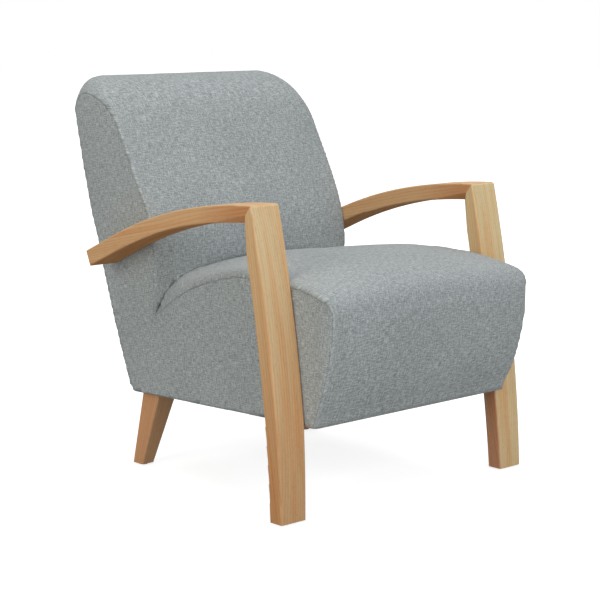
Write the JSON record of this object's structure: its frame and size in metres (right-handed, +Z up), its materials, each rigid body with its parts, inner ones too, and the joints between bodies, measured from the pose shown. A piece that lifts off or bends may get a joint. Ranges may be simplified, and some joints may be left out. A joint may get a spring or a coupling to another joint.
{
  "type": "armchair",
  "caption": "Low upholstered armchair: a crowned seat and raked back in grey cloth, held between mitred timber side frames whose bowed front legs turn into drooping armrests, on raked rear legs",
  "frame": {"origin": "on the floor, under the middle of the chair's box", "axes": "+Z up, -Y to the front where the sitter's legs go, +X to the right as seen from the front"},
  "size_m": [0.6866, 0.8162, 0.8245],
  "materials": {
    "frame_wood": "light honey oak under a satin clear lacquer",
    "cover_fabric": "fine plain-weave melange upholstery cloth, light grey, matte",
    "foam": "open-cell polyurethane foam, pale cream",
    "wadding": "needled polyester wadding and felt, off-white",
    "plywood": "raw birch plywood",
    "softwood": "raw planed softwood",
    "webbing": "elastic woven webbing, charcoal",
    "dust_cloth": "thin non-woven cloth, black",
    "glide_plastic": "moulded nylon, dark",
    "zinc_steel": "zinc-plated steel"
  },
  "bodies": {
    "root": {"armrest_left": "frame_wood", "armrest_right": "frame_wood", "front_leg_left": "frame_wood", "front_leg_right": "frame_wood", "rear_leg_left": "frame_wood", "rear_leg_right": "frame_wood", "mitre_dowels": "frame_wood", "seat_cover": "cover_fabric", "inside_back_cover": "cover_fabric", "outside_back_cover": "cover_fabric", "side_cover_left": "cover_fabric", "side_cover_right": "cover_fabric", "seat_foam": "foam", "back_foam": "foam", "side_pad_left": "wadding", "side_pad_right": "wadding", "seat_felt": "wadding", "side_gable_left": "plywood", "side_gable_right": "plywood", "seat_front_rail": "softwood", "seat_rear_rail": "softwood", "base_rear_rail": "softwood", "lumbar_rail": "softwood", "back_top_rail": "softwood", "leg_block_left": "softwood", "leg_block_right": "softwood", "corner_blocks": "softwood", "seat_webbing_long": "webbing", "seat_webbing_cross": "webbing", "back_webbing": "webbing", "dust_cover": "dust_cloth", "leg_glides": "glide_plastic", "arm_bolts": "zinc_steel", "arm_bolt_washers": "zinc_steel", "arm_inserts": "zinc_steel", "leg_studs": "zinc_steel", "leg_tee_nuts": "zinc_steel", "frame_screws": "zinc_steel"}
  },
  "joints": []
}
